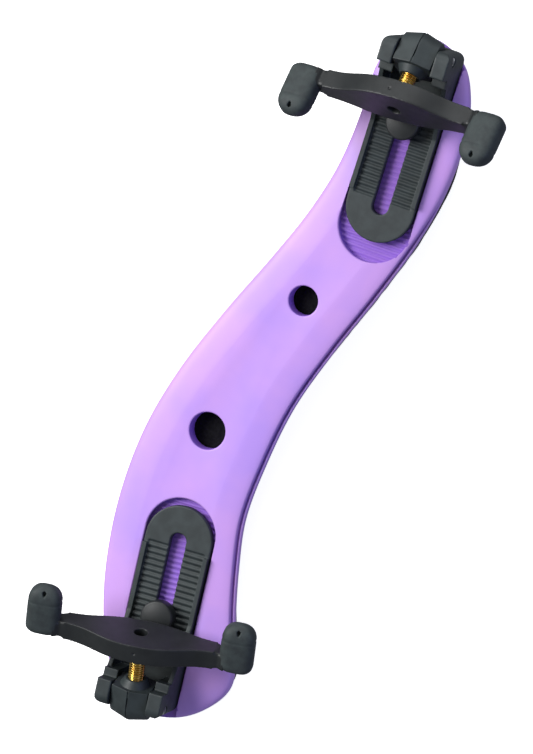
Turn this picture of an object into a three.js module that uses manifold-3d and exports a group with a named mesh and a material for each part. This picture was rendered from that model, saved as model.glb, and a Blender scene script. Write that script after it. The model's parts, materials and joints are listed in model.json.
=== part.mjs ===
// Collapsible violin shoulder rest: an S-shaped moulded base on a foam pad, with a slotted
// sliding plate at each end. Each plate carries a fork on a folding pivot: a height screw,
// a crescent bar and two rubber feet that grip the instrument's edge.
// Millimetres, +X along the base towards the narrow end, +Z towards the instrument.

import * as THREE from 'three';
import { mergeVertices } from 'three/addons/utils/BufferGeometryUtils.js';
import Module from 'manifold-3d';

const wasm = await Module();
wasm.setup();

// ---------------------------------------------------------------- driving dimensions

const GAP = 0.3;                 // running or glue clearance between neighbouring pieces
const ROUND_STEPS = 28;          // sides of a bore or a round pin

// Base outline, seen from the instrument side, starting at the narrow end's tip.
const BASE_OUTLINE = [
  [115, -22], [111.5, -11.8], [103, -7.3], [92, -6.7], [80, -5.6], [67.5, -3.3], [52.5, 1.7],
  [37, 8.7], [15.6, 19.3], [-5.5, 28.5], [-25.8, 34.6], [-45, 37.1], [-63, 37.0], [-82, 34.3],
  [-97, 29.5], [-108, 22.6], [-114.5, 12], [-113.5, 1.5], [-108, -7.4], [-99, -13.6], [-88, -12.6],
  [-76.8, -9.3], [-62, -6.2], [-46, -4.2], [-27, -6.1], [-7.4, -10.1], [13.2, -17.8],
  [34.2, -27.0], [52, -34.0], [70, -38.7], [86, -40.2], [100, -38.5], [110, -33.4],
];
const OUTLINE_STEPS = 100;
const FOAM_THICK = 9;
const FOAM_INSET = 3;
const FOAM_EDGE_INSET = 1.4;      // along the concave edge of the narrow half, where it shows
const FOAM_BOTTOM_ROUND = 1.5;
const BASE_THICK = 5.2;
const HOLES = [
  { x: 26.1, y: -4.9, radius: 4.7 },
  { x: -22.1, y: 14.2, radius: 5.9 },
];

// Recess that each plate slides in, and the serrations on its floor.
const RECESS_DEPTH = 2.4;
const RECESS_PITCH = 1.7;
const RECESS_RIB = 0.4;
const RECESS_SLACK = 0.6;

// Sliding plate. Lengths run outward from its round inner tip, except where they are
// measured back from its outer end.
const PLATE_WIDTH = 22;
const PLATE_THICK = 2.6;
const PLATE_CORNER = 2.5;
const PLATE_PITCH = 1.9;
const PLATE_RIB = 0.45;
const SLOT_WIDTH = 5.3;
const SLOT_START = 8.6;
const SLOT_END = 48.5;
const RAIL_START = 14;
const RAIL_WIDTH = 1.5;
const RAIL_HEIGHT = 1.2;
const WALL_START = 36;            // where the rail starts to climb towards the ear
const WALL_HEIGHT = 8.5;
const STEP_BACK = 11;            // low step in front of the ear, back from the outer end
const STEP_HEIGHT = 10.5;
const EAR_BACK = 8.2;
const EAR_WIDTH = 4.6;
const EAR_HEIGHT = 15.2;
const EAR_CORNER = 3;

// Folding pivot.
const PIN_BACK = 2.4;
const PIN_HEIGHT = 8.8;          // above the plate's top face
const PIN_RADIUS = 1.5;
const PIN_SLACK = 0.08;           // running clearance of the pins in the block
const PIN_DEPTH = 2.9;            // how far each stub pin enters the block
const BLOCK_RADIUS = 6.0;         // from the pin to the ridge round its middle
const BLOCK_SIDE = 4.3;           // the same at its two sides
const BLOCK_REACH = 6.6;          // from the pin to its face towards the bar
const COLLAR_REACH = 8.9;         // from the pin to the end of the tapered collar
const COLLAR_WIDE = 5.2;          // radius, 1 mm below the block's face
const COLLAR_NARROW = 3.3;

// Height screw and fork. Heights run along the screw from the bar's lower face.
const SCREW_RADIUS = 2.45;
const THREAD_SLACK = 0.1;         // between a plain screw and its plain bore
const SCREW_BELOW = 19.6;
const SCREW_INSIDE = 4.2;
const BAR_THICK = 6;
const BAR_HALF_SPAN = 25.1;
const BAR_END_HALF = 3.4;
const BAR_BULGE_OUT = 6.0;
const BAR_BULGE_IN = 4.2;
const BAR_BORE = 2.15;
const CORE_HALF = 2.0;
const CORE_OUT = 32.5;
const CORE_IN = 28.0;
const CORE_TOP = 11.5;

// Rubber feet.
const FOOT_SPACING = 61.8;
const FOOT_WIDTH = 10.7;
const FOOT_DEPTH = 7.4;
const FOOT_OUT = 1.1;             // feet stand this far to the bar's outer side
const FOOT_LOW = 0.2;
const FOOT_HIGH = 16.8;
const FOOT_STEPS = 24;
const FOOT_SQUARENESS = 0.62;     // 1 is an ellipse, lower is squarer
// Fraction of the foot's height, and the size of its section there.
const FOOT_LEVELS = [
  [0, 0.72], [0.03, 0.88], [0.1, 0.98], [0.25, 1], [0.6, 1], [0.78, 0.95], [0.9, 0.8],
  [0.97, 0.55], [1, 0.3],
];

// Clamp knob, its stud and the captive nut under the base.
const KNOB_RADIUS = 5.3;
const KNOB_HEIGHT = 5.3;
const STUD_RADIUS = 2.0;
const NUT_ACROSS = 7;
const NUT_THICK = 2.0;

// The two ends. tip and yaw place the plate's round tip, length is the plate's, recessLead
// is how far the recess runs past the tip, and clamp is the knob's distance from it. As
// stored, lean is the screw's angle above the plate, spin turns the fork about its screw,
// and reach is the distance from the pivot to the bar along the screw.
const ENDS = [
  {
    name: 'chest',
    tip: [50.1, -20.4],
    yaw: -2.3,
    length: 63.6,
    recessLead: 6.6,
    clamp: 38.3,
    lean: 28,
    spin: 9.9,
    reach: 14.8,
  },
  {
    name: 'shoulder',
    tip: [-47.1, 14.4],
    yaw: 182,
    length: 64.8,
    recessLead: 2.4,
    clamp: 35.6,
    lean: 18.6,
    spin: 9.8,
    reach: 19.2,
  },
];

// ---------------------------------------------------------------- materials

function plastic(color, roughness) {
  return new THREE.MeshStandardMaterial({ color, roughness, metalness: 0 });
}

function metal(color, roughness) {
  return new THREE.MeshStandardMaterial({ color, roughness, metalness: 1 });
}

const LILAC = plastic(0xb98df2, 0.42);
const CHARCOAL = plastic(0x3c4243, 0.55);
const FOAM_BLACK = plastic(0x17171a, 0.95);
const RUBBER = plastic(0x3f4545, 0.7);
const BRASS = metal(0xc9a13c, 0.3);
const STEEL = metal(0x9a9da2, 0.35);

// ---------------------------------------------------------------- solid helpers

function solidOf(geometry) {
  const bare = geometry.clone();
  bare.deleteAttribute('normal');
  bare.deleteAttribute('uv');
  const merged = mergeVertices(bare, 1e-4);
  const vertProperties = new Float32Array(merged.attributes.position.array);
  const triVerts = new Uint32Array(merged.index.array);
  return new wasm.Manifold(new wasm.Mesh({ numProp: 3, vertProperties, triVerts }));
}

function geometryOf(solid) {
  const mesh = solid.getMesh();
  const geometry = new THREE.BufferGeometry();
  geometry.setAttribute('position', new THREE.BufferAttribute(new Float32Array(mesh.vertProperties), 3));
  geometry.setIndex(new THREE.BufferAttribute(new Uint32Array(mesh.triVerts), 1));
  return geometry;
}

function addMesh(parent, name, solid, material) {
  const mesh = new THREE.Mesh(geometryOf(solid), material);
  mesh.name = name;
  parent.add(mesh);
  return mesh;
}

function box(low, high) {
  const size = high.map((value, axis) => value - low[axis]);
  const geometry = new THREE.BoxGeometry(...size);
  geometry.translate(...low.map((value, axis) => value + size[axis] / 2));
  return solidOf(geometry);
}

// Upright cylinder from one height to another.
function cylinder(radius, low, high, x = 0, y = 0, sides = ROUND_STEPS) {
  const geometry = new THREE.CylinderGeometry(radius, radius, high - low, sides);
  geometry.rotateX(Math.PI / 2);
  geometry.translate(x, y, (low + high) / 2);
  return solidOf(geometry);
}

// Cylinder lying along Y.
function crossPin(radius, low, high, x, z) {
  const geometry = new THREE.CylinderGeometry(radius, radius, high - low, ROUND_STEPS);
  geometry.translate(x, (low + high) / 2, z);
  return solidOf(geometry);
}

function slab(shape, low, high, curveSegments = 12) {
  const settings = { depth: high - low, bevelEnabled: false, curveSegments };
  const geometry = new THREE.ExtrudeGeometry(shape, settings);
  geometry.translate(0, 0, low);
  return solidOf(geometry);
}

// A side profile drawn in length and height, extruded from one Y to another.
function sideSlab(shape, low, high, curveSegments = 6) {
  const settings = { depth: high - low, bevelEnabled: false, curveSegments };
  const geometry = new THREE.ExtrudeGeometry(shape, settings);
  geometry.rotateX(Math.PI / 2);
  geometry.translate(0, high, 0);
  return solidOf(geometry);
}

// A stretch of Y from near to far, on one side of the middle, lowest first.
function span(side, near, far) {
  return side > 0 ? [near, far] : [-far, -near];
}

function polygon(points) {
  return new THREE.Shape(points.map(([x, y]) => new THREE.Vector2(x, y)));
}

// Stacked rings of equal point count, closed by flat caps at both ends.
function ringSolid(rings) {
  const count = rings[0].length;
  const positions = rings.flat().flatMap((point) => [point.x, point.y, point.z]);
  const index = [];
  for (let level = 0; level + 1 < rings.length; level += 1) {
    for (let step = 0; step < count; step += 1) {
      const next = (step + 1) % count;
      const lower = level * count;
      const upper = lower + count;
      index.push(lower + step, lower + next, upper + next);
      index.push(lower + step, upper + next, upper + step);
    }
  }
  const top = (rings.length - 1) * count;
  const cap = (ring) => THREE.ShapeUtils.triangulateShape(
    ring.map((point) => new THREE.Vector2(point.x, point.y)), []);
  cap(rings[0]).forEach(([a, b, c]) => index.push(c, b, a));
  cap(rings.at(-1)).forEach(([a, b, c]) => index.push(top + a, top + b, top + c));
  const geometry = new THREE.BufferGeometry();
  geometry.setAttribute('position', new THREE.BufferAttribute(new Float32Array(positions), 3));
  geometry.setIndex(index);
  return solidOf(geometry);
}

// The base outline moved inwards by inset(point), at a height.
const outlineCurve = new THREE.CatmullRomCurve3(
  BASE_OUTLINE.map(([x, y]) => new THREE.Vector3(x, y, 0)), true);

function outlineRing(inset, height) {
  const ring = [];
  for (let step = 0; step < OUTLINE_STEPS; step += 1) {
    const along = step / OUTLINE_STEPS;
    const point = outlineCurve.getPointAt(along);
    const tangent = outlineCurve.getTangentAt(along);
    const depth = inset(point);
    ring.push(new THREE.Vector3(point.x - tangent.y * depth, point.y + tangent.x * depth, height));
  }
  return ring;
}

// ---------------------------------------------------------------- base and foam

const BASE_LOW = FOAM_THICK + GAP;
const BASE_HIGH = BASE_LOW + BASE_THICK;
const RECESS_FLOOR = BASE_HIGH - RECESS_DEPTH;
const PLATE_LOW = RECESS_FLOOR + GAP;
const KNOB_LOW = PLATE_LOW + PLATE_THICK + GAP;

function foamRing(extra, height) {
  const inset = (point) => {
    const near = 1 - THREE.MathUtils.smoothstep(point.x, 72, 90);
    const outer = near * THREE.MathUtils.smoothstep(-point.y, 6, 20);
    return extra + THREE.MathUtils.lerp(FOAM_INSET, FOAM_EDGE_INSET, outer);
  };
  return outlineRing(inset, height);
}

function foamPad() {
  return ringSolid([
    foamRing(FOAM_BOTTOM_ROUND, 0),
    foamRing(0, FOAM_BOTTOM_ROUND),
    foamRing(0, FOAM_THICK),
  ]);
}

// Crowned slab: a short upright edge, a rounded shoulder and a gently domed top.
function baseBlank() {
  const levels = [
    [0.5, 0], [0, 0.5], [0, 2.4], [0.4, 3.5], [1.3, 4.2], [3.2, 4.7], [6.5, 5.0], [9, BASE_THICK],
  ];
  return ringSolid(levels.map(([inset, rise]) => outlineRing(() => inset, BASE_LOW + rise)));
}

// Teeth between two lengths, as the top edge of a side profile.
function serration(start, end, pitch, low, high) {
  const points = [];
  for (let along = start; along + pitch <= end + 1e-6; along += pitch) {
    points.push([along, low], [along + pitch / 2, low]);
    points.push([along + pitch / 2, high], [along + pitch, high]);
  }
  return points;
}

// What one plate's recess takes out of the base, in the plate's own frame.
function recessCutter(length, lead) {
  const radius = PLATE_WIDTH / 2 + RECESS_SLACK;
  const reach = length + 20;
  const plan = new THREE.Shape();
  plan.moveTo(reach, -radius);
  plan.lineTo(reach, radius);
  plan.absarc(radius - lead, 0, radius, Math.PI / 2, 3 * Math.PI / 2, false);
  const pocket = slab(plan, RECESS_FLOOR - RECESS_RIB, BASE_HIGH + 5, 16);
  const start = -lead - 1;
  const teeth = serration(start, SLOT_END, RECESS_PITCH, RECESS_FLOOR - RECESS_RIB, RECESS_FLOOR);
  const under = BASE_LOW - 1;
  const floor = polygon([
    [start, under], [reach + 1, under], [reach + 1, RECESS_FLOOR], ...teeth.reverse(),
  ]);
  return pocket.subtract(sideSlab(floor, -radius - 1, radius + 1));
}

function nutPocket(along) {
  const across = (NUT_ACROSS / 2 + GAP) / Math.cos(Math.PI / 6);
  return cylinder(across, BASE_LOW - 1, BASE_LOW + NUT_THICK + 2 * GAP, along, 0, 6);
}

function placed(solid, end) {
  return solid.rotate([0, 0, end.yaw]).translate([end.tip[0], end.tip[1], 0]);
}

function baseBody() {
  let base = baseBlank();
  for (const hole of HOLES) {
    base = base.subtract(cylinder(hole.radius, 0, BASE_HIGH + 5, hole.x, hole.y));
  }
  for (const end of ENDS) {
    base = base.subtract(placed(recessCutter(end.length, end.recessLead), end));
    base = base.subtract(placed(cylinder(STUD_RADIUS + GAP, 0, BASE_HIGH, end.clamp), end));
    base = base.subtract(placed(nutPocket(end.clamp), end));
  }
  return base;
}

// ---------------------------------------------------------------- sliding plate

function platePlan(length) {
  const radius = PLATE_WIDTH / 2;
  const plan = new THREE.Shape();
  const corner = PLATE_CORNER;
  plan.absarc(length - corner, corner - radius, corner, -Math.PI / 2, 0, false);
  plan.absarc(length - corner, radius - corner, corner, 0, Math.PI / 2, false);
  plan.absarc(radius, 0, radius, Math.PI / 2, 3 * Math.PI / 2, false);
  return plan;
}

function slotPath() {
  const half = SLOT_WIDTH / 2;
  const slot = new THREE.Path();
  slot.moveTo(SLOT_START + half, half);
  slot.absarc(SLOT_START + half, 0, half, Math.PI / 2, 3 * Math.PI / 2, false);
  slot.lineTo(SLOT_END - half, -half);
  slot.absarc(SLOT_END - half, 0, half, -Math.PI / 2, Math.PI / 2, false);
  return slot;
}

// Side wall: low rail, ramp, step and ear, seen from the side with heights above the plate.
function wallProfile(length) {
  const profile = new THREE.Shape();
  const earStart = length - EAR_BACK;
  const stepStart = length - STEP_BACK;
  profile.moveTo(RAIL_START, -0.5);
  profile.lineTo(length, -0.5);
  profile.lineTo(length, EAR_HEIGHT - EAR_CORNER);
  profile.absarc(length - EAR_CORNER, EAR_HEIGHT - EAR_CORNER, EAR_CORNER, 0, Math.PI / 2, false);
  profile.lineTo(earStart, EAR_HEIGHT);
  profile.lineTo(earStart, STEP_HEIGHT);
  profile.lineTo(stepStart, STEP_HEIGHT);
  profile.lineTo(stepStart, WALL_HEIGHT);
  profile.lineTo(WALL_START, RAIL_HEIGHT);
  profile.lineTo(RAIL_START, RAIL_HEIGHT);
  return profile;
}

function plateSolid(length) {
  const top = PLATE_THICK;
  const half = PLATE_WIDTH / 2;
  const slotted = platePlan(length);
  slotted.holes.push(slotPath());
  let plate = slab(slotted, 0, top, 14);
  const teeth = serration(PLATE_WIDTH / 2 + 2, SLOT_END, PLATE_PITCH, top - PLATE_RIB, top + 1);
  const first = teeth[0][0];
  const last = teeth.at(-1)[0];
  const grooves = polygon([...teeth, [last, top + 2], [first, top + 2]]);
  plate = plate.subtract(sideSlab(grooves, -half + RAIL_WIDTH, half - RAIL_WIDTH));
  const earOnly = box([length - STEP_BACK, -half, -1], [length + 1, half, EAR_HEIGHT + 1]);
  const profile = wallProfile(length);
  for (const side of [-1, 1]) {
    const wall = sideSlab(profile, ...span(side, half - RAIL_WIDTH, half));
    const ear = sideSlab(profile, ...span(side, half - EAR_WIDTH, half)).intersect(earOnly);
    plate = plate.add(wall.add(ear).translate([0, 0, top]));
  }
  plate = plate.intersect(slab(platePlan(length), 0, top + EAR_HEIGHT + 1, 14));
  const pinHole = crossPin(PIN_RADIUS, -half - 1, half + 1, length - PIN_BACK, top + PIN_HEIGHT);
  return plate.subtract(pinHole);
}

// ---------------------------------------------------------------- pivot

// Tapered collar round the screw, starting inside the block.
function collar() {
  const low = BLOCK_REACH - 1;
  const height = COLLAR_REACH - low;
  const geometry = new THREE.CylinderGeometry(COLLAR_NARROW, COLLAR_WIDE, height, ROUND_STEPS);
  geometry.rotateX(Math.PI / 2);
  geometry.translate(0, 0, low + height / 2);
  return solidOf(geometry);
}

// Two facets meet in a ridge, which runs on round the barrel-shaped end.
function pivotBlock() {
  const halfWidth = PLATE_WIDTH / 2 - EAR_WIDTH - GAP;
  const barrel = [
    [0, -halfWidth], [BLOCK_SIDE, -halfWidth], [BLOCK_RADIUS, 0], [BLOCK_SIDE, halfWidth],
    [0, halfWidth],
  ];
  const turned = barrel.map(([radius, across]) => new THREE.Vector2(radius, across));
  const section = polygon([
    [BLOCK_RADIUS, 0], [BLOCK_SIDE, halfWidth], [-BLOCK_SIDE, halfWidth],
    [-BLOCK_RADIUS, 0], [-BLOCK_SIDE, -halfWidth], [BLOCK_SIDE, -halfWidth],
  ]);
  let block = solidOf(new THREE.LatheGeometry(turned, ROUND_STEPS));
  block = block.add(slab(section, 0, BLOCK_REACH)).add(collar());
  block = block.subtract(cylinder(SCREW_RADIUS + THREAD_SLACK, -20, 20));
  const bore = halfWidth - PIN_DEPTH - GAP;
  for (const side of [-1, 1]) {
    const ends = span(side, bore, halfWidth + 1);
    block = block.subtract(crossPin(PIN_RADIUS + PIN_SLACK, ...ends, 0, 0));
  }
  return block;
}

function stubPin(side) {
  const halfWidth = PLATE_WIDTH / 2 - EAR_WIDTH - GAP;
  const ends = span(side, halfWidth - PIN_DEPTH, PLATE_WIDTH / 2 - GAP);
  return crossPin(PIN_RADIUS - PIN_SLACK, ...ends, 0, 0);
}

// ---------------------------------------------------------------- fork

// Crescent seen along the screw: thin ends, a deeper bulge on its outer side.
function barShape() {
  const shape = new THREE.Shape();
  const end = BAR_HALF_SPAN;
  const outer = BAR_END_HALF + BAR_BULGE_OUT;
  const inner = BAR_END_HALF + BAR_BULGE_IN;
  shape.moveTo(BAR_END_HALF, -end);
  shape.bezierCurveTo(BAR_END_HALF + 0.4, -end * 0.58, outer, -end * 0.52, outer, 0);
  shape.bezierCurveTo(outer, end * 0.52, BAR_END_HALF + 0.4, end * 0.58, BAR_END_HALF, end);
  shape.lineTo(-BAR_END_HALF, end);
  shape.bezierCurveTo(-BAR_END_HALF - 0.4, end * 0.6, -inner, end * 0.5, -inner, 0);
  shape.bezierCurveTo(-inner, -end * 0.5, -BAR_END_HALF - 0.4, -end * 0.6, -BAR_END_HALF, -end);
  return shape;
}

// The rigid core of one foot: a stub out of the bar and a prong along the screw direction.
function footCore(side, slack) {
  const half = CORE_HALF + slack;
  const stubEnds = span(side, BAR_HALF_SPAN - 1, CORE_OUT + slack);
  const prongEnds = span(side, CORE_IN - slack, CORE_OUT + slack);
  const stub = box([-half, stubEnds[0], 1 - slack], [half, stubEnds[1], 5 + slack]);
  const prong = box([-half, prongEnds[0], 1 - slack], [half, prongEnds[1], CORE_TOP + slack]);
  return stub.add(prong).translate([FOOT_OUT / 2, 0, 0]);
}

function forkArm() {
  let arm = slab(barShape(), 0, BAR_THICK, 12);
  arm = arm.add(footCore(-1, 0)).add(footCore(1, 0));
  arm = arm.subtract(cylinder(SCREW_RADIUS + GAP, -1, SCREW_INSIDE + GAP));
  return arm.subtract(cylinder(BAR_BORE, 0, BAR_THICK + 1));
}

// Soft rounded foot: superellipse sections stacked along the screw direction.
function footSleeve(side) {
  const centre = side * FOOT_SPACING / 2;
  const length = FOOT_HIGH - FOOT_LOW;
  const rings = [];
  const squared = (value) => Math.sign(value) * Math.abs(value) ** FOOT_SQUARENESS;
  for (const [along, scale] of FOOT_LEVELS) {
    const ring = [];
    for (let step = 0; step < FOOT_STEPS; step += 1) {
      const angle = (2 * Math.PI * step) / FOOT_STEPS;
      const across = squared(Math.cos(angle));
      const through = squared(Math.sin(angle));
      ring.push(new THREE.Vector3(
        FOOT_OUT + across * scale * FOOT_DEPTH / 2,
        centre + through * scale * FOOT_WIDTH / 2,
        FOOT_LOW + along * length));
    }
    rings.push(ring);
  }
  return ringSolid(rings).subtract(footCore(side, GAP));
}

function heightScrew() {
  return cylinder(SCREW_RADIUS, -SCREW_BELOW, SCREW_INSIDE);
}

// ---------------------------------------------------------------- clamp knob

function clampKnob() {
  const profile = [
    [0, 0], [KNOB_RADIUS - 0.4, 0], [KNOB_RADIUS, 0.4], [KNOB_RADIUS, KNOB_HEIGHT - 1.2],
    [KNOB_RADIUS - 0.5, KNOB_HEIGHT - 0.4], [KNOB_RADIUS - 1.6, KNOB_HEIGHT], [0, KNOB_HEIGHT],
  ];
  const points = profile.map(([x, y]) => new THREE.Vector2(x, y));
  const geometry = new THREE.LatheGeometry(points, ROUND_STEPS);
  geometry.rotateX(Math.PI / 2);
  return solidOf(geometry).subtract(cylinder(STUD_RADIUS + GAP, -1, KNOB_HEIGHT - 1.5));
}

function clampStud() {
  return cylinder(STUD_RADIUS, BASE_LOW + GAP - KNOB_LOW, KNOB_HEIGHT - 2);
}

function captiveNut() {
  const across = NUT_ACROSS / 2 / Math.cos(Math.PI / 6);
  const hole = cylinder(STUD_RADIUS + THREAD_SLACK, -1, NUT_THICK + 1);
  return cylinder(across, 0, NUT_THICK, 0, 0, 6).subtract(hole);
}

// ---------------------------------------------------------------- assembly

function radians(degrees) {
  return THREE.MathUtils.degToRad(degrees);
}

function endAssembly(end) {
  const group = new THREE.Group();
  group.position.set(end.tip[0], end.tip[1], 0);
  group.rotation.z = radians(end.yaw);

  const slider = new THREE.Group();
  slider.position.z = PLATE_LOW;
  addMesh(slider, `${end.name}_plate`, plateSolid(end.length), CHARCOAL);

  const pivot = new THREE.Group();
  pivot.position.set(end.length - PIN_BACK, 0, PLATE_THICK + PIN_HEIGHT);
  addMesh(pivot, `${end.name}_hinge_pin_a`, stubPin(1), STEEL);
  addMesh(pivot, `${end.name}_hinge_pin_b`, stubPin(-1), STEEL);

  const fold = new THREE.Group();
  fold.rotation.y = radians(end.lean - 90);
  addMesh(fold, `${end.name}_pivot_block`, pivotBlock(), CHARCOAL);

  const fork = new THREE.Group();
  fork.position.z = end.reach;
  fork.rotation.z = radians(end.spin);
  addMesh(fork, `${end.name}_height_screw`, heightScrew(), BRASS);
  addMesh(fork, `${end.name}_fork_arm`, forkArm(), CHARCOAL);
  addMesh(fork, `${end.name}_foot_a`, footSleeve(1), RUBBER);
  addMesh(fork, `${end.name}_foot_b`, footSleeve(-1), RUBBER);
  fold.add(fork);
  pivot.add(fold);
  slider.add(pivot);

  const clamp = new THREE.Group();
  clamp.position.set(end.clamp, 0, KNOB_LOW);
  addMesh(clamp, `${end.name}_clamp_knob`, clampKnob(), CHARCOAL);
  addMesh(clamp, `${end.name}_clamp_stud`, clampStud(), STEEL);
  const nut = addMesh(group, `${end.name}_captive_nut`, captiveNut(), STEEL);
  nut.position.set(end.clamp, 0, BASE_LOW + GAP);

  group.add(slider, clamp);
  return group;
}

const model = new THREE.Group();
addMesh(model, 'base_body', baseBody(), LILAC);
addMesh(model, 'foam_pad', foamPad(), FOAM_BLACK);
for (const end of ENDS) {
  model.add(endAssembly(end));
}
model.updateMatrixWorld(true);

// The origin is the middle of the foam's underside.
const bounds = new THREE.Box3().setFromObject(model, true);
const middle = bounds.getCenter(new THREE.Vector3());
model.position.set(-middle.x, -middle.y, -bounds.min.z);

const group = new THREE.Group();
group.add(model);
export default group;
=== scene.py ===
"""Looks of a collapsible violin shoulder rest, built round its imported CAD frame.

Each piece is modelled in millimetres in its own frame, and placed in the row frame, in
metres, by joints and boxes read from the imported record.
"""
import json
import math

import bmesh
import bpy
from mathutils import Matrix, Vector, noise


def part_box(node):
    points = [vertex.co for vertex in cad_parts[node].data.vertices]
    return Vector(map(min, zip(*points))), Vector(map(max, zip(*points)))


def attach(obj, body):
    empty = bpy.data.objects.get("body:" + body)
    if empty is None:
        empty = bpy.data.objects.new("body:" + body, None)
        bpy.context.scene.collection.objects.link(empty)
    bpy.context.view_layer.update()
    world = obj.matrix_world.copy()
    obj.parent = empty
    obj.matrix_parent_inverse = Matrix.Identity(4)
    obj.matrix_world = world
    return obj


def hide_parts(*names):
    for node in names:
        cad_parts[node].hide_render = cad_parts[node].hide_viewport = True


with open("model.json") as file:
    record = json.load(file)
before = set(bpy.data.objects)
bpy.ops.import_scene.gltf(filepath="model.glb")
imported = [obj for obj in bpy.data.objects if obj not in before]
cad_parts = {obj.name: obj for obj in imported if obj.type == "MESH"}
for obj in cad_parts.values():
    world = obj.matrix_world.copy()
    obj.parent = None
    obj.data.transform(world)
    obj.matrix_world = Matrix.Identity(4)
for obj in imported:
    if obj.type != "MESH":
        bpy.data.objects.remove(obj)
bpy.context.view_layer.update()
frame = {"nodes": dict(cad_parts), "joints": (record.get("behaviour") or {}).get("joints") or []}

MM = 0.001
JOINTS = {joint["name"]: joint for joint in frame["joints"]}
ENDS = ("chest", "shoulder")

# ------------------------------------------------------------------ driving dimensions, mm

GAP = 0.3
BASE_OUTLINE = [
    (115, -22), (111.5, -11.8), (103, -7.3), (92, -6.7), (80, -5.6), (67.5, -3.3), (52.5, 1.7),
    (37, 8.7), (15.6, 19.3), (-5.5, 28.5), (-25.8, 34.6), (-45, 37.1), (-63, 37.0), (-82, 34.3),
    (-97, 29.5), (-108, 22.6), (-114.5, 12), (-113.5, 1.5), (-108, -7.4), (-99, -13.6),
    (-88, -12.6), (-76.8, -9.3), (-62, -6.2), (-46, -4.2), (-27, -6.1), (-7.4, -10.1),
    (13.2, -17.8), (34.2, -27.0), (52, -34.0), (70, -38.7), (86, -40.2), (100, -38.5),
    (110, -33.4),
]
OUTLINE_STEPS = 420
BASE_THICK = 5.2
HOLES = [(26.1, -4.9, 4.7), (-22.1, 14.2, 5.9)]
RECESS_DEPTH = 2.4
RECESS_PITCH = 1.7
RECESS_RIB = 0.4
RECESS_SLACK = 0.6
RECESS_LEAD = {"chest": 6.6, "shoulder": 2.4}
RIM_ROUND = 0.55
FOAM_INSET = 3
FOAM_EDGE_INSET = 1.4             # along the concave edge of the narrow half, where it shows
FOAM_ROUND = 1.5
# Margins within which faces of the hole walls and recess walls take the painted shade.
HOLE_WALL = 0.1                  # how far out a face still belongs to a hole's wall
RECESS_WALL = 0.15

PLATE_WIDTH = 22
PLATE_THICK = 2.6
PLATE_LENGTH = {"chest": 63.6, "shoulder": 64.8}
PLATE_CORNER = 2.5
PLATE_PITCH = 1.9
PLATE_RIB = 0.45
SLOT_WIDTH = 5.3
SLOT_START = 8.6
SLOT_END = 48.5
RAIL_START = 14
RAIL_WIDTH = 1.5
RAIL_HEIGHT = 1.2
WALL_START = 36
WALL_HEIGHT = 8.5
STEP_BACK = 11
STEP_HEIGHT = 10.5
EAR_BACK = 8.2
EAR_WIDTH = 4.6
EAR_HEIGHT = 15.2
EAR_CORNER = 3
PIN_BACK = 2.4
PIN_HEIGHT = 8.8
PIN_RADIUS = 1.5
PIN_DEPTH = 2.9
PIN_SLACK = 0.08
PIN_SLIT = 0.3                   # half the slit's width

BLOCK_RADIUS = 6.0
BLOCK_SIDE = 4.3
BLOCK_REACH = 6.6
BLOCK_GROOVE = 0.4
BLOCK_GROOVE_HALF = 0.2
COLLAR_REACH = 8.9
COLLAR_WIDE = 5.2
COLLAR_NARROW = 3.3

SCREW_RADIUS = 2.45
SCREW_ROOT = 2.08
SCREW_PITCH = 0.8
SCREW_SLACK = 0.1
SCREW_BELOW = 19.6
SCREW_TOP = 2.4
BAR_THICK = 6
BAR_HALF_SPAN = 25.1
BAR_END_HALF = 3.4
BAR_BULGE_OUT = 6.0
BAR_BULGE_IN = 4.2
BAR_BORE = 2.15
NECK_LENGTH = 1.2                # of the rounded neck beyond the crescent's flat sides
GATE_MARK = 0.45
CORE_HALF = 2.0
CORE_OUT = 32.5
CORE_IN = 28.0
CORE_TOP = 11.5
FOOT_SPACING = 61.8
FOOT_WIDTH = 10.7
FOOT_DEPTH = 7.4
FOOT_OUT = 1.1
FOOT_LOW = 0.2
FOOT_HIGH = 16.8
FOOT_HOLE_RADIUS = 0.62
FOOT_HOLE_AT = 0.88              # as a share of the foot's height
FOOT_SQUARENESS = 0.62
NECK_SQUARENESS = 0.3

KNOB_RADIUS = 5.3
KNOB_HEIGHT = 5.3
STUD_RADIUS = 2.0
NUT_ACROSS = 7
NUT_THICK = 2.0

# ------------------------------------------------------------------ frames


def own_frame(origin, along, across, up):
    """Matrix from a piece's own millimetres to the row frame in metres."""
    turn = Matrix((along, across, up)).transposed().to_4x4()
    return Matrix.Translation(origin) @ turn @ Matrix.Scale(MM, 4)


def plate_frame(end):
    up = Vector((0, 0, 1))
    slide = Vector(JOINTS[f"{end}_width_slide"]["axis"]).normalized()
    along = (PLATE_LENGTH[end] - PIN_BACK) * MM
    origin = Vector(JOINTS[f"{end}_fold"]["pos_m"]) - slide * along
    origin.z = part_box(f"{end}_plate")[0].z
    return own_frame(origin, slide, up.cross(slide), up)


def fold_frame(end):
    across = Vector(JOINTS[f"{end}_fold"]["axis"]).normalized()
    screw = Vector(JOINTS[f"{end}_swivel"]["axis"]).normalized()
    origin = Vector(JOINTS[f"{end}_fold"]["pos_m"])
    return own_frame(origin, across.cross(screw), across, screw)


def middle(node):
    low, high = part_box(node)
    return (low + high) / 2


def fork_frame(end):
    screw = Vector(JOINTS[f"{end}_swivel"]["axis"]).normalized()
    across = (middle(f"{end}_foot_a") - middle(f"{end}_foot_b")).normalized()
    origin = Vector(JOINTS[f"{end}_swivel"]["pos_m"])
    return own_frame(origin, across.cross(screw), across, screw)


def knob_frame(end):
    origin = Vector(JOINTS[f"{end}_clamp_turn"]["pos_m"])
    return Matrix.Translation(origin) @ Matrix.Scale(MM, 4)


# ------------------------------------------------------------------ mesh helpers


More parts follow.
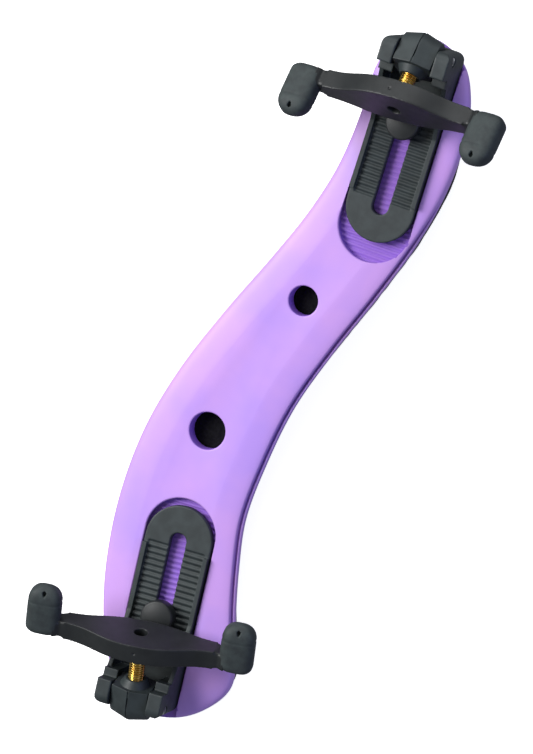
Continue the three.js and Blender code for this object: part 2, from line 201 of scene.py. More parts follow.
def mesh_object(name, vertices, faces):
    mesh = bpy.data.meshes.new(name)
    mesh.from_pydata([tuple(v) for v in vertices], [], faces)
    builder = bmesh.new()
    builder.from_mesh(mesh)
    bmesh.ops.recalc_face_normals(builder, faces=builder.faces)
    builder.to_mesh(mesh)
    builder.free()
    obj = bpy.data.objects.new(name, mesh)
    bpy.context.scene.collection.objects.link(obj)
    return obj


def ring_solid(name, rings):
    """Stacked rings of equal point count, closed by a cap at each end."""
    count = len(rings[0])
    vertices = [point for ring in rings for point in ring]
    faces = [tuple(reversed(range(count)))]
    for level in range(len(rings) - 1):
        low = level * count
        for step in range(count):
            after = (step + 1) % count
            faces.append((low + step, low + after, low + count + after, low + count + step))
    top = (len(rings) - 1) * count
    faces.append(tuple(range(top, top + count)))
    return mesh_object(name, vertices, faces)


def prism(name, outline, low, high):
    """An outline in X and Y, extruded upwards."""
    return ring_solid(name, [[(x, y, z) for x, y in outline] for z in (low, high)])


def side_prism(name, profile, low, high):
    """A profile in X and Z, extruded along Y."""
    return ring_solid(name, [[(x, y, z) for x, z in profile] for y in (low, high)])


def circle(radius, x=0, y=0, steps=64):
    turns = [2 * math.pi * step / steps for step in range(steps)]
    return [(x + radius * math.cos(turn), y + radius * math.sin(turn)) for turn in turns]


def arc(x, y, radius, start, end, steps=16):
    turns = [math.radians(start + (end - start) * step / steps) for step in range(steps + 1)]
    return [(x + radius * math.cos(turn), y + radius * math.sin(turn)) for turn in turns]


def lathe(name, profile, x=0, y=0, steps=96):
    """Radius and height pairs turned about a vertical axis."""
    rings = [[(px, py, height) for px, py in circle(radius, x, y, steps)]
             for radius, height in profile]
    return ring_solid(name, rings)


def cross_pin(name, radius, low, high, x, z):
    return side_prism(name, circle(radius, x, z, 48), low, high)


def bake(obj):
    """Applies the modifiers."""
    graph = bpy.context.evaluated_depsgraph_get()
    baked = bpy.data.meshes.new_from_object(obj.evaluated_get(graph))
    obj.modifiers.clear()
    obj.data = baked
    return obj


def combine(obj, other, operation):
    modifier = obj.modifiers.new("combine", "BOOLEAN")
    modifier.operation = operation
    modifier.solver = "MANIFOLD"
    modifier.object = other
    bake(obj)
    bpy.data.objects.remove(other)
    return obj


def cut(obj, other):
    return combine(obj, other, "DIFFERENCE")


def join(obj, other):
    return combine(obj, other, "UNION")


def mould(obj, voxel, rounds):
    """Even mesh with relaxed edges, as on a moulded part."""
    remesh = obj.modifiers.new("even", "REMESH")
    remesh.mode = "VOXEL"
    remesh.voxel_size = voxel
    relax = obj.modifiers.new("relax", "SMOOTH")
    relax.factor = 0.5
    relax.iterations = rounds
    return bake(obj)


def shade(obj, sharp_degrees=None):
    """Smooth shading, with edges over an angle left sharp."""
    builder = bmesh.new()
    builder.from_mesh(obj.data)
    for face in builder.faces:
        face.smooth = True
    if sharp_degrees is not None:
        for edge in builder.edges:
            edge.smooth = edge.calc_face_angle(0) < math.radians(sharp_degrees)
    builder.to_mesh(obj.data)
    builder.free()
    return obj


def settle(obj, place, material, body, slot, *nodes):
    """Puts a finished piece in the row frame, on its body, in place of CAD nodes."""
    obj.data.transform(place)
    obj.data.materials.clear()
    obj.data.materials.append(material)
    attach(obj, body)
    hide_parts(*nodes)
    return obj


# ------------------------------------------------------------------ materials


def srgb(red, green, blue):
    """A screen colour, 0 to 255, as linear light."""
    def linear(value):
        value /= 255
        return value / 12.92 if value <= 0.04045 else ((value + 0.055) / 1.055) ** 2.4
    return (linear(red), linear(green), linear(blue), 1)


def shader_material(name, roughness, metallic=0.0, specular=0.5):
    material = bpy.data.materials.new(name)
    material.use_nodes = True
    nodes = material.node_tree.nodes
    shader = nodes["Principled BSDF"]
    shader.inputs["Roughness"].default_value = roughness
    shader.inputs["Metallic"].default_value = metallic
    shader.inputs["Specular IOR Level"].default_value = specular
    return material, shader


def noise_node(material, scale, detail=3, stretch=(1, 1, 1)):
    """Noise in the piece's own coordinates; scale is in waves per metre."""
    nodes, links = material.node_tree.nodes, material.node_tree.links
    place = nodes.new("ShaderNodeTexCoord")
    mapping = nodes.new("ShaderNodeMapping")
    mapping.inputs["Scale"].default_value = stretch
    texture = nodes.new("ShaderNodeTexNoise")
    texture.inputs["Scale"].default_value = scale
    texture.inputs["Detail"].default_value = detail
    links.new(place.outputs["Object"], mapping.inputs["Vector"])
    links.new(mapping.outputs["Vector"], texture.inputs["Vector"])
    return texture


def blotch(material, shader, light, dark, scale, detail=3):
    """Colour that drifts between two shades."""
    nodes, links = material.node_tree.nodes, material.node_tree.links
    texture = noise_node(material, scale, detail)
    ramp = nodes.new("ShaderNodeValToRGB")
    ramp.color_ramp.elements[0].position = 0.35
    ramp.color_ramp.elements[0].color = dark
    ramp.color_ramp.elements[1].position = 0.65
    ramp.color_ramp.elements[1].color = light
    links.new(texture.outputs["Fac"], ramp.inputs["Fac"])
    links.new(ramp.outputs["Color"], shader.inputs["Base Color"])


def vary_roughness(material, shader, low, high, scale):
    nodes, links = material.node_tree.nodes, material.node_tree.links
    texture = noise_node(material, scale, 4)
    spread = nodes.new("ShaderNodeMapRange")
    spread.inputs["To Min"].default_value = low
    spread.inputs["To Max"].default_value = high
    links.new(texture.outputs["Fac"], spread.inputs["Value"])
    links.new(spread.outputs["Result"], shader.inputs["Roughness"])


def grain(material, shader, scale, depth, detail=4, stretch=(1, 1, 1)):
    """Fine surface grain, its depth in metres."""
    nodes, links = material.node_tree.nodes, material.node_tree.links
    texture = noise_node(material, scale, detail, stretch)
    bump = nodes.new("ShaderNodeBump")
    bump.inputs["Strength"].default_value = 1.0
    bump.inputs["Distance"].default_value = depth
    links.new(texture.outputs["Fac"], bump.inputs["Height"])
    links.new(bump.outputs["Normal"], shader.inputs["Normal"])


def lilac_plastic(name, light, dark):
    material, shader = shader_material(name, 0.42, specular=0.35)
    blotch(material, shader, light, dark, 38)
    vary_roughness(material, shader, 0.38, 0.5, 300)
    grain(material, shader, 2600, 0.000006)
    shader.inputs["Coat Weight"].default_value = 0.08
    shader.inputs["Coat Roughness"].default_value = 0.3
    return material


def charcoal_plastic():
    material, shader = shader_material("charcoal_plastic", 0.5, specular=0.45)
    blotch(material, shader, srgb(49, 57, 58), srgb(40, 47, 48), 260)
    vary_roughness(material, shader, 0.44, 0.6, 500)
    grain(material, shader, 3200, 0.00002)
    return material


def satin_black():
    material, shader = shader_material("satin_black", 0.46, specular=0.45)
    blotch(material, shader, srgb(31, 34, 35), srgb(25, 28, 29), 200)
    vary_roughness(material, shader, 0.4, 0.52, 420)
    grain(material, shader, 3600, 0.000012)
    return material


def foot_rubber():
    material, shader = shader_material("foot_rubber", 0.62, specular=0.35)
    blotch(material, shader, srgb(55, 63, 63), srgb(47, 53, 54), 420)
    vary_roughness(material, shader, 0.56, 0.72, 700)
    grain(material, shader, 2300, 0.000025)
    return material


def black_foam():
    material, shader = shader_material("black_foam", 0.95, specular=0.1)
    blotch(material, shader, srgb(20, 20, 22), srgb(8, 8, 10), 900, 2)
    grain(material, shader, 1500, 0.0002, 6)
    shader.inputs["Sheen Weight"].default_value = 0.15
    return material


def brass_metal():
    material, shader = shader_material("brass_metal", 0.22, metallic=1.0)
    blotch(material, shader, srgb(232, 200, 112), srgb(205, 160, 72), 500)
    vary_roughness(material, shader, 0.16, 0.34, 900)
    grain(material, shader, 5000, 0.000004)
    return material


def plain_steel():
    material, shader = shader_material("plain_steel", 0.3, metallic=1.0)
    blotch(material, shader, srgb(205, 207, 210), srgb(170, 172, 176), 600)
    vary_roughness(material, shader, 0.22, 0.4, 1400)
    grain(material, shader, 5200, 0.000005, 4, (1, 1, 0.1))
    return material


LILAC = lilac_plastic("lilac_plastic", srgb(201, 156, 229), srgb(184, 148, 233))
# A darker lilac: painted shade for the recess floors and walls and for the hole walls.
LILAC_PAINTED_SHADE = lilac_plastic("lilac_painted_shade", srgb(152, 108, 205), srgb(142, 104, 208))
CHARCOAL = charcoal_plastic()
SATIN = satin_black()
RUBBER = foot_rubber()
FOAM = black_foam()
BRASS = brass_metal()
STEEL = plain_steel()

# ------------------------------------------------------------------ base outline


def outline_points():
    """A smooth closed curve through the outline, at equal steps along its length."""
    points = [Vector(point) for point in BASE_OUTLINE]
    count = len(points)
    dense = []
    for index in range(count):
        a, b, c, d = (points[(index + offset) % count] for offset in (-1, 0, 1, 2))
        t0 = 0.0
        t1 = t0 + (b - a).length ** 0.5
        t2 = t1 + (c - b).length ** 0.5
        t3 = t2 + (d - c).length ** 0.5
        for step in range(40):
            t = t1 + (t2 - t1) * step / 40
            ab = a * ((t1 - t) / (t1 - t0)) + b * ((t - t0) / (t1 - t0))
            bc = b * ((t2 - t) / (t2 - t1)) + c * ((t - t1) / (t2 - t1))
            cd = c * ((t3 - t) / (t3 - t2)) + d * ((t - t2) / (t3 - t2))
            abc = ab * ((t2 - t) / (t2 - t0)) + bc * ((t - t0) / (t2 - t0))
            bcd = bc * ((t3 - t) / (t3 - t1)) + cd * ((t - t1) / (t3 - t1))
            dense.append(abc * ((t2 - t) / (t2 - t1)) + bcd * ((t - t1) / (t2 - t1)))
    lengths = [(dense[(i + 1) % len(dense)] - dense[i]).length for i in range(len(dense))]
    step_length = sum(lengths) / OUTLINE_STEPS
    even, travelled, index = [], 0.0, 0
    for step in range(OUTLINE_STEPS):
        target = step * step_length
        while travelled + lengths[index] < target:
            travelled += lengths[index]
            index += 1
        share = (target - travelled) / lengths[index]
        even.append(dense[index].lerp(dense[(index + 1) % len(dense)], share))
    return even


OUTLINE = outline_points()


def outline_ring(inset, height):
    """The outline moved inwards by inset(point), at a height."""
    ring = []
    for step, point in enumerate(OUTLINE):
        tangent = OUTLINE[(step + 1) % OUTLINE_STEPS] - OUTLINE[step - 1]
        tangent.normalize()
        depth = inset(point)
        ring.append((point.x - tangent.y * depth, point.y + tangent.x * depth, height))
    return ring


def ease(share):
    share = max(0.0, min(1.0, share))
    return share * share * (3 - 2 * share)


def base_frame():
    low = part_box("base_body")[0]
    corner = Vector((min(p.x for p in OUTLINE), min(p.y for p in OUTLINE), 0)) * MM
    return Matrix.Translation(Vector((low.x, low.y, low.z)) - corner) @ Matrix.Scale(MM, 4)


BASE_PLACE = base_frame()

# ------------------------------------------------------------------ base

# Inset and height of each ring of the side, from the underside up. The plain side is
# rounded. The lipped one has a groove between its lip and the top shell. Both run on into
# a gently crowned top.
BASE_SIDE = [(0.9, 0), (0.35, 0.12), (0.08, 0.4), (0, 0.8), (0, 1.5), (0, 1.7), (0, 1.9),
             (0.01, 2.1), (0.03, 2.3), (0.07, 2.55), (0.14, 2.85), (0.28, 3.2), (0.55, 3.55),
             (0.95, 3.85), (1.5, 4.1), (2.3, 4.32)]
BASE_LIP = [(0.9, 0), (0.35, 0.12), (0.08, 0.4), (0, 0.8), (0, 2.3), (0.1, 2.5), (0.3, 2.6),
            (0.5, 2.5), (0.7, 1.2), (1.15, 1.2), (1.25, 2.6), (1.25, 3.5), (1.3, 3.78),
            (1.42, 3.96), (1.75, 4.12), (2.5, 4.32)]
BASE_CROWN = [(3.3, 4.5), (4.6, 4.69), (6.2, 4.89), (7.8, 5.06), (9.2, BASE_THICK),
              (9.6, BASE_THICK)]


def lip_share(x, y):
    """1 along the edge where the top shell stands back from a lip, and 0 elsewhere."""
    return ease((2 - 0.25 * x - y) / 6) * ease((x + 96) / 16) * ease((75 - x) / 30)


def base_ring(plain, lipped):
    """A ring of the base's side, between its plain section and its lipped one."""
    def between(x, y, axis):
        share = lip_share(x, y)
        return plain[axis] * (1 - share) + lipped[axis] * share

    ring = outline_ring(lambda point: between(point.x, point.y, 0), 0)
    return [(x, y, between(x, y, 1)) for x, y, _ in ring]


def rim_profile(surface):
    """How far a recess or a hole has widened at each height, up through its rounded rim."""
    profile = [(0, surface - RIM_ROUND)]
    for step in range(1, 7):
        turn = math.radians(90 * step / 6)
        profile.append((RIM_ROUND * (1 - math.cos(turn)),
                        surface - RIM_ROUND * (1 - math.sin(turn))))
    return profile + [(RIM_ROUND * 1.2, surface + 4)]


def recess_outline(radius, lead, reach):
    centre = PLATE_WIDTH / 2 + RECESS_SLACK - lead
    return [(reach, -radius), (reach, radius)] + arc(centre, 0, radius, 90, 270, 48)


def recess_cutter(end):
    """One plate's recess with a rounded rim and a ribbed floor, in the plate's frame."""
    radius = PLATE_WIDTH / 2 + RECESS_SLACK
    reach = PLATE_LENGTH[end] + 20
    lead = RECESS_LEAD[end]
    floor = -GAP
    levels = [(0, floor - RECESS_RIB)] + rim_profile(RECESS_DEPTH - GAP)
    pocket = ring_solid("pocket", [
        [(x, y, height) for x, y in recess_outline(radius + grow, lead, reach + 1)]
        for grow, height in levels])
    profile = [(-lead - 1, floor - 2)]
    along = -lead - 1
    while along < SLOT_END:
        for share, rise in [(0, 0), (0.3, 0), (0.42, 0.7), (0.55, 1), (0.8, 1), (0.92, 0.7)]:
            profile.append((along + share * RECESS_PITCH, floor - RECESS_RIB * (1 - rise)))
        along += RECESS_PITCH
    profile += [(along, floor), (reach + 3, floor), (reach + 3, floor - 2)]
    return cut(pocket, side_prism("floor", profile, -radius - 1, radius + 1))


def hole_cutter(radius, x, y):
    profile = [(radius + grow, height) for grow, height in rim_profile(BASE_THICK)]
    return lathe("hole", [(radius, -1)] + profile, x, y)


def painted_shade_faces(base):
    """Whether each face of the base is on a recess's floor or wall, or on a hole's wall: the
    faces that take the painted shade of the darker lilac.
    """
    to_plates = [(plate_frame(end).inverted() @ BASE_PLACE, RECESS_LEAD[end]) for end in ENDS]
    radius = PLATE_WIDTH / 2 + RECESS_SLACK + RECESS_WALL

    def is_hollow(point):
        for x, y, hole in HOLES:
            if math.hypot(point.x - x, point.y - y) < hole + HOLE_WALL:
                return True
        if not BASE_THICK - RECESS_DEPTH - 1 < point.z < BASE_THICK - 0.75:
            return False
        for to_plate, lead in to_plates:
            local = to_plate @ point
            if math.hypot(max(0.0, radius - lead - local.x), local.y) < radius:
                return True
        return False

    return [is_hollow(face.center) for face in base.data.polygons]


def build_base():
    rings = [base_ring(plain, lipped) for plain, lipped in zip(BASE_SIDE, BASE_LIP)]
    rings += [base_ring(level, level) for level in BASE_CROWN]
    base = ring_solid("base_shell", rings)
    for x, y, radius in HOLES:
        cut(base, hole_cutter(radius, x, y))
    for end in ENDS:
        to_base = BASE_PLACE.inverted() @ plate_frame(end)
        recess = recess_cutter(end)
        recess.data.transform(to_base)
        cut(base, recess)
        stud = BASE_PLACE.inverted() @ middle(f"{end}_clamp_stud")
        bore = prism("bore", circle(STUD_RADIUS + GAP, stud.x, stud.y), -1, BASE_THICK + 2)
        cut(base, bore)
        across = (NUT_ACROSS / 2 + GAP) / math.cos(math.pi / 6)
        pocket = prism("nut_pocket", circle(across, stud.x, stud.y, 6), -1, NUT_THICK + 2 * GAP)
        cut(base, pocket)
    shade(base, 32)
    # Faces in the recesses and on the hole walls get the darker lilac, as painted shade.
    painted_shade_mask = painted_shade_faces(base)
    settle(base, BASE_PLACE, LILAC, "root", "base_plastic", "base_body")
    base.data.materials.append(LILAC_PAINTED_SHADE)
    for face, gets_painted_shade in zip(base.data.polygons, painted_shade_mask):
        face.material_index = int(gets_painted_shade)


def build_foam():
    """Foam pad under the base, with a slightly uneven skin."""
    low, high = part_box("foam_pad")
    thick = (high.z - low.z) / MM

    def ring(extra, height):
        def inset(point):
            outer = ease((-point.y - 6) / 14) * (1 - ease((point.x - 72) / 18))
            return FOAM_INSET - (FOAM_INSET - FOAM_EDGE_INSET) * outer + extra
        return outline_ring(inset, height)

    levels = [(9, 0), (6, 0), (3.5, 0)]
    for step in range(7):
        turn = math.radians(90 * step / 6)
        levels.append((FOAM_ROUND * (1 - math.sin(turn)), FOAM_ROUND * (1 - math.cos(turn))))
    levels += [(0.0, 3), (0.1, 4.5), (0.1, 6), (0.0, 7.5), (0.25, 8.6), (0.6, thick), (4, thick)]
    foam = ring_solid("foam_cushion", [ring(extra, height) for extra, height in levels])
    for vertex in foam.data.vertices:
        if 0.4 < vertex.co.z < thick - 0.6:
            wave = noise.noise(vertex.co * 0.35) * 0.12
            vertex.co.x += wave
            vertex.co.y += wave
    shade(foam, 50)
    place = BASE_PLACE.copy()
    place.translation.z = low.z
    settle(foam, place, FOAM, "root", "foam", "foam_pad")


# ------------------------------------------------------------------ sliding plate


def plate_outline(length):
    radius = PLATE_WIDTH / 2
    corner = PLATE_CORNER
    outline = arc(length - corner, corner - radius, corner, -90, 0, 10)
    outline += arc(length - corner, radius - corner, corner, 0, 90, 10)
    return outline + arc(radius, 0, radius, 90, 270, 48)


def slot_outline():
    half = SLOT_WIDTH / 2
    outline = arc(SLOT_START + half, 0, half, 90, 270, 24)
    return outline + arc(SLOT_END - half, 0, half, -90, 90, 24)


def wall_profile(length):
    """Low rail, ramp, step and ear, with heights above the plate."""
    ear, step = length - EAR_BACK, length - STEP_BACK
    profile = [(RAIL_START, -0.5), (length, -0.5)]
    profile += arc(length - EAR_CORNER, EAR_HEIGHT - EAR_CORNER, EAR_CORNER, 0, 90, 8)
    profile += [
        (ear, EAR_HEIGHT), (ear, STEP_HEIGHT), (step, STEP_HEIGHT), (step, WALL_HEIGHT),
        (WALL_START, RAIL_HEIGHT), (RAIL_START, RAIL_HEIGHT),
    ]
    return [(x, z + PLATE_THICK) for x, z in profile]


def span(side, near, far):
    """A stretch of Y on one side of the middle, lowest first."""
    return (near, far) if side > 0 else (-far, -near)


def plate_grooves():
    """The cutter for the ribs between the rails."""
    top = PLATE_THICK
    start = PLATE_WIDTH / 2 + 2
    profile = [(start, top + 2)]
    along = start
    while along + PLATE_PITCH <= SLOT_END:
        for share, depth in [(0.02, 0), (0.1, 0.8), (0.2, 1), (0.42, 1), (0.52, 0.8), (0.6, 0)]:
            profile.append((along + share * PLATE_PITCH, top - depth * PLATE_RIB))
        along += PLATE_PITCH
    profile.append((along, top + 2))
    half = PLATE_WIDTH / 2 - RAIL_WIDTH
    return side_prism("grooves", profile, -half, half)


def build_plate(end):
    half = PLATE_WIDTH / 2
    top = PLATE_THICK
    length = PLATE_LENGTH[end]
    profile = wall_profile(length)
    step = length - STEP_BACK
    plate = prism(f"{end}_plate_moulding", plate_outline(length), 0, top)
    cut(plate, prism("slot", slot_outline(), -1, top + 1))
    cut(plate, plate_grooves())
    for side in (-1, 1):
        join(plate, side_prism("wall", profile, *span(side, half - RAIL_WIDTH, half)))
        ear = side_prism("ear", profile, *span(side, half - EAR_WIDTH, half))
        keep = brick("keep", (step, -half - 1, -1), (length + 1, half + 1, 30))
        join(plate, combine(ear, keep, "INTERSECT"))
    combine(plate, prism("edge", plate_outline(length), -1, top + EAR_HEIGHT + 1), "INTERSECT")
    height = top + PIN_HEIGHT
    cut(plate, cross_pin("pin_hole", PIN_RADIUS, -half - 1, half + 1, length - PIN_BACK, height))
    mould(plate, 0.2, 2)
    shade(plate)
    settle(plate, plate_frame(end), CHARCOAL, f"{end}_carriage", "dark_plastic", f"{end}_plate")


def build_pins(end):
    """Stub pins with a screwdriver slit in their outer ends."""
    inner = PLATE_WIDTH / 2 - EAR_WIDTH - GAP - PIN_DEPTH
    outer = PLATE_WIDTH / 2 - GAP
    for side, letter in ((1, "a"), (-1, "b")):
        radius = PIN_RADIUS - PIN_SLACK
        rings = []
        for shrink, along in [(0.35, inner), (0, inner + 0.35), (0, outer - 0.25), (0.25, outer)]:
            rings.append([(x, side * along, z) for x, z in circle(radius - shrink)])
        pin = ring_solid(f"{end}_pin_{letter}", rings)
        near, far = span(side, outer - 0.6, outer + 1)
        cut(pin, brick("slit", (-PIN_SLIT, near, -2), (PIN_SLIT, far, 2)))
        shade(pin, 35)
        settle(pin, fold_frame(end), STEEL, f"{end}_carriage", "steel",
               f"{end}_hinge_pin_{letter}")


# ------------------------------------------------------------------ folding pivot


def build_block(end):
    """Two facets meet in a ridge, which runs on round the barrel-shaped end."""
    half = PLATE_WIDTH / 2 - EAR_WIDTH - GAP
    radius, side_radius = BLOCK_RADIUS, BLOCK_SIDE
    block = ring_solid(f"{end}_pivot_moulding", [
        [(x, across, z) for x, z in circle(turned, steps=128)]
        for across, turned in [(-half, side_radius), (0, radius), (half, side_radius)]])
    section = [(radius, 0), (side_radius, half), (-side_radius, half), (-radius, 0),
               (-side_radius, -half), (side_radius, -half)]
    join(block, prism("section", section, 0, BLOCK_REACH))
    collar = [(COLLAR_WIDE, BLOCK_REACH - 1), (COLLAR_NARROW, COLLAR_REACH)]
    join(block, lathe("collar", collar))
    cut(block, prism("bore", circle(SCREW_RADIUS + SCREW_SLACK), -20, 20))
    for side in (-1, 1):
        ends = span(side, half - PIN_DEPTH - GAP, half + 1)
        cut(block, cross_pin("pin_bore", PIN_RADIUS, *ends, 0, 0))
    wide = BLOCK_GROOVE_HALF
    groove = cross_pin("parting_line", radius + 1, -wide, wide, 0, 0)
    cut(groove, cross_pin("core", radius - BLOCK_GROOVE, -1, 1, 0, 0))
    cut(block, groove)
    for side in (-1, 1):
        near, far = span(side, radius - BLOCK_GROOVE, radius + 1)
        cut(block, brick("parting_line", (near, -wide, 0), (far, wide, 20)))
    mould(block, 0.12, 2)
    shade(block)
    settle(block, fold_frame(end), CHARCOAL, f"{end}_pivot", "dark_plastic",
           f"{end}_pivot_block")


def build_screw(end):
    """Threaded brass screw: rings whose radius follows a helix."""
    turns, steps = 48, 12
    rings = []
    length = SCREW_BELOW + SCREW_TOP
    levels = int(length / SCREW_PITCH * steps)
    for level in range(levels + 1):
        height = -SCREW_BELOW + length * level / levels
        edge = min(level, levels - level) / steps
        ring = []
        for turn in range(turns):
            angle = 2 * math.pi * turn / turns
            phase = (height / SCREW_PITCH - turn / turns) % 1.0
            tooth = min(1.0, max(0.0, 1.25 - abs(phase * 2 - 1) * 1.5))
            radius = SCREW_ROOT + (SCREW_RADIUS - SCREW_ROOT) * tooth * min(1.0, edge)
            ring.append((radius * math.cos(angle), radius * math.sin(angle), height))
        rings.append(ring)
    screw = ring_solid(f"{end}_threaded_screw", rings)
    shade(screw, 50)
    settle(screw, fork_frame(end), BRASS, f"{end}_screw", "brass", f"{end}_height_screw")


# ------------------------------------------------------------------ fork


def bezier(a, b, c, d, steps=24):
    points = []
    for step in range(steps):
        t = step / steps
        weights = ((1 - t) ** 3, 3 * t * (1 - t) ** 2, 3 * t * t * (1 - t), t ** 3)
        points.append(tuple(sum(w * p[axis] for w, p in zip(weights, (a, b, c, d)))
                            for axis in (0, 1)))
    return points


def bar_outline():
    end = BAR_HALF_SPAN - NECK_LENGTH
    half = BAR_END_HALF
    outer = half + BAR_BULGE_OUT
    inner = half + BAR_BULGE_IN
    points = bezier((half, -end), (half + 0.4, -end * 0.58), (outer, -end * 0.52), (outer, 0))
    points += bezier((outer, 0), (outer, end * 0.52), (half + 0.4, end * 0.58), (half, end))
    points += [(half, end)]
    near = half + 0.4
    points += bezier((-half, end), (-near, end * 0.6), (-inner, end * 0.5), (-inner, 0))
    points += bezier((-inner, 0), (-inner, -end * 0.5), (-near, -end * 0.6), (-half, -end))
    return points + [(-half, -end)]


def brick(name, low, high):
    outline = [(low[0], low[1]), (high[0], low[1]), (high[0], high[1]), (low[0], high[1])]
    return prism(name, outline, low[2], high[2])


def foot_core(side, slack):
    """The rigid stub and prong inside one foot."""
    middle_x = FOOT_OUT / 2
    low_x, high_x = middle_x - CORE_HALF - slack, middle_x + CORE_HALF + slack
    near, far = span(side, BAR_HALF_SPAN - 1, CORE_OUT + slack)
    core = brick("stub", (low_x, near, 1 - slack), (high_x, far, 5 + slack))
    near, far = span(side, CORE_IN - slack, CORE_OUT + slack)
    return join(core, brick("prong", (low_x, near, 1 - slack), (high_x, far, CORE_TOP + slack)))


def bar_neck(side):
    """Rounded neck between the crescent and a foot."""
    rings = []
    for along, centre, wide, high in [(-3, 0, 3.39, 2.99), (-1.1, 0, 3.39, 2.99),
                                      (-0.5, 0, 3.32, 2.92), (0, 0.1, 3.15, 2.8),
                                      (0.5, 0.25, 3.1, 2.75), (1.1, 0.55, 3.3, 2.8),
                                      (2.4, 1.0, 3.6, 2.8)]:
        y = side * (BAR_HALF_SPAN + along)
        ring = []
        for step in range(48):
            turn = 2 * math.pi * step / 48
            ring.append((centre + wide * squared(math.cos(turn), NECK_SQUARENESS), y,
                         BAR_THICK / 2 + high * squared(math.sin(turn), NECK_SQUARENESS)))
        rings.append(ring)
    return ring_solid("neck", rings)


def squared(value, power=FOOT_SQUARENESS):
    return math.copysign(abs(value) ** power, value)


def build_arm(end):
    arm = prism(f"{end}_fork_moulding", bar_outline(), 0, BAR_THICK)
    for side in (-1, 1):
        join(arm, bar_neck(side))
        join(arm, foot_core(side, 0))
    cut(arm, prism("screw_bore", circle(SCREW_RADIUS + GAP), -1, SCREW_TOP + SCREW_SLACK))
    cut(arm, prism("bore", circle(BAR_BORE), SCREW_TOP + 0.5, BAR_THICK + 1))
    mark_x = BAR_END_HALF + BAR_BULGE_OUT
    outline = circle(GATE_MARK, mark_x, BAR_THICK * 0.55, 24)
    mark = side_prism("gate_mark", outline, -GATE_MARK, GATE_MARK)
    cut(arm, mark)
    mould(arm, 0.24, 5)
    shade(arm)
    settle(arm, fork_frame(end), SATIN, f"{end}_fork", "dark_plastic", f"{end}_fork_arm")


def foot_scale(along):
    """Size of the foot's section at a fraction of its height: full sides, a rounded tip."""
    heel = min(1.0, along / 0.16)
    tip = min(1.0, (1 - along) / 0.38)
    size = (1 - (1 - heel) ** 2.6 * 0.3) * max(0.0, 1 - (1 - tip) ** 2.6) ** 0.5
    crease = 0.035 * math.exp(-((along - 0.66) / 0.022) ** 2)
    return max(0.06, size - crease)


def build_foot(end, side, letter):
    centre = side * FOOT_SPACING / 2
    height = FOOT_HIGH - FOOT_LOW
    rings = []
    levels = 60
    for level in range(levels + 1):
        along = 0.5 - 0.5 * math.cos(math.pi * level / levels)
        size = foot_scale(along)
        ring = []
        for step in range(64):
            turn = 2 * math.pi * step / 64
            ring.append((FOOT_OUT + squared(math.cos(turn)) * size * FOOT_DEPTH / 2,
                         centre + squared(math.sin(turn)) * size * FOOT_WIDTH / 2,
                         FOOT_LOW + along * height))
        rings.append(ring)
    foot = ring_solid(f"{end}_rubber_foot_{letter}", rings)
    cut(foot, foot_core(side, GAP))
    tip_z = FOOT_LOW + height * FOOT_HOLE_AT
    tear = arc(centre, tip_z, FOOT_HOLE_RADIUS, -20, 200, 20) + [(centre, tip_z - 1.5)]
    hole = ring_solid("tear_hole", [[(x, y, z) for y, z in tear] for x in (FOOT_OUT + 1.5, 12)])
    cut(foot, hole)
    mould(foot, 0.2, 3)
    shade(foot)
    settle(foot, fork_frame(end), RUBBER, f"{end}_fork", "foot_rubber", f"{end}_foot_{letter}")


# ------------------------------------------------------------------ clamp


def build_clamp(end):
    radius, height = KNOB_RADIUS, KNOB_HEIGHT
    profile = [(radius - 0.5, 0), (radius - 0.15, 0.15), (radius, 0.5), (radius, height - 1.25)]
    for step in range(1, 9):
        turn = math.radians(90 * step / 8)
        profile.append((radius - 0.75 + 0.75 * math.cos(turn),
                        height - 1.25 + 0.75 * math.sin(turn)))
    for share in (0.75, 0.6, 0.4, 0.2, 0.05):
        crown = 0.5 * (1 - (share * radius / (radius - 0.75)) ** 2)
        profile.append((share * radius, height - 0.5 + crown))
    knob = lathe(f"{end}_clamp_disc", profile)
    cut(knob, prism("stud_bore", circle(STUD_RADIUS + GAP), -1, height - 1.5))
    shade(knob, 40)
    settle(knob, knob_frame(end), SATIN, f"{end}_clamp", "dark_plastic",
           f"{end}_clamp_knob")


def dress_cad_nodes():
    """The studs and nuts keep their CAD shape."""
    for end in ENDS:
        for name in (f"{end}_clamp_stud", f"{end}_captive_nut"):
            node = frame["nodes"][name]
            node.data.materials.clear()
            node.data.materials.append(STEEL)


build_base()
build_foam()
for end_name in ENDS:
    build_plate(end_name)
    build_pins(end_name)
    build_block(end_name)
    build_screw(end_name)
    build_arm(end_name)
    build_foot(end_name, 1, "a")
    build_foot(end_name, -1, "b")
    build_clamp(end_name)
dress_cad_nodes()

# ------------------------------------------------------------------ stage, light, camera

# The viewing direction, as tilts from straight down, and the picture's turn on the floor.
TILT_RIGHT = 17.77
TILT_UP = 5.67
TURN = 15.51
DISTANCE = 1.4014
FOCAL_MM = 216.1
AIM_HEIGHT = 0.0150


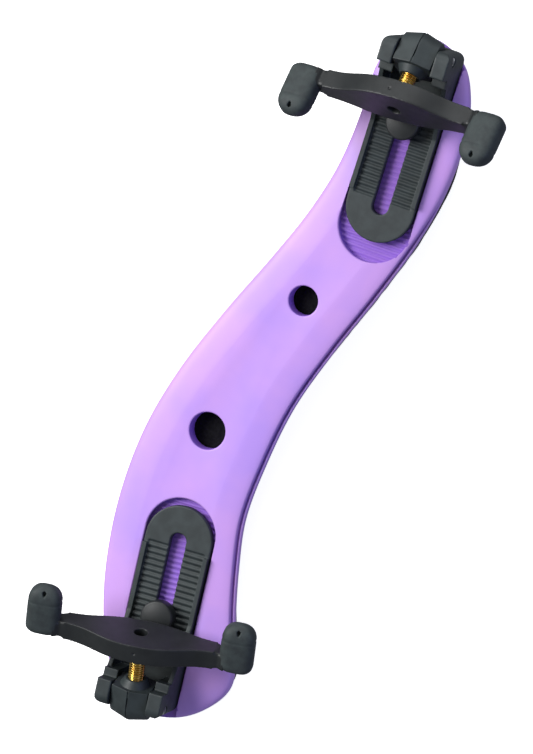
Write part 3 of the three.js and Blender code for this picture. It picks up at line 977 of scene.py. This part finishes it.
def build_floor():
    size = 3.0
    floor = mesh_object("floor", [(-size, -size, 0), (size, -size, 0), (size, size, 0),
                                  (-size, size, 0)], [(0, 1, 2, 3)])
    floor.data.transform(Matrix.Translation((0, 0, -0.0002)))
    material, shader = shader_material("pale_floor", 0.9, specular=0.1)
    shader.inputs["Base Color"].default_value = (0.8, 0.8, 0.8, 1)
    shader.inputs["Emission Color"].default_value = (1, 1, 1, 1)
    shader.inputs["Emission Strength"].default_value = 0.85
    floor.data.materials.append(material)
    floor.visible_diffuse = False
    floor.visible_glossy = False


def area_light(name, place, size, power, color=(1, 1, 1)):
    data = bpy.data.lights.new(name, "AREA")
    data.color = color
    data.shape = "DISK"
    data.size = size
    data.energy = power
    light = bpy.data.objects.new(name, data)
    bpy.context.scene.collection.objects.link(light)
    light.location = place
    light.rotation_euler = (-Vector(place)).to_track_quat("-Z", "Y").to_euler()


def build_light():
    world = bpy.data.worlds.new("studio")
    world.use_nodes = True
    background = world.node_tree.nodes["Background"]
    background.inputs["Color"].default_value = (0.9, 0.93, 1, 1)
    background.inputs["Strength"].default_value = 0.26
    bpy.context.scene.world = world
    area_light("key", (0.28, 1.0, 1.12), 0.9, 27)
    area_light("back", (1.2, 0.15, 0.55), 0.9, 6)
    area_light("side", (0.0, -1.1, 0.55), 0.8, 3, (0.35, 0.42, 1.0))


def build_camera():
    turn = math.radians(TURN)
    right = Vector((math.sin(turn), -math.cos(turn), 0))
    upward = Vector((math.cos(turn), math.sin(turn), 0))
    back = Vector((0, 0, 1)) + right * math.tan(math.radians(TILT_RIGHT))
    back += upward * math.tan(math.radians(TILT_UP))
    back.normalize()
    x_axis = upward.cross(back).normalized()
    y_axis = back.cross(x_axis)
    target = Vector((BASE_PLACE.translation.x, BASE_PLACE.translation.y, AIM_HEIGHT))
    data = bpy.data.cameras.new("camera")
    data.sensor_fit = "VERTICAL"
    data.sensor_height = 36
    data.lens = FOCAL_MM
    camera = bpy.data.objects.new("camera", data)
    bpy.context.scene.collection.objects.link(camera)
    turn_matrix = Matrix((x_axis, y_axis, back)).transposed().to_4x4()
    camera.matrix_world = Matrix.Translation(target + back * DISTANCE) @ turn_matrix
    bpy.context.scene.camera = camera


build_floor()
build_light()
build_camera()
bpy.context.scene.view_settings.view_transform = "Standard"
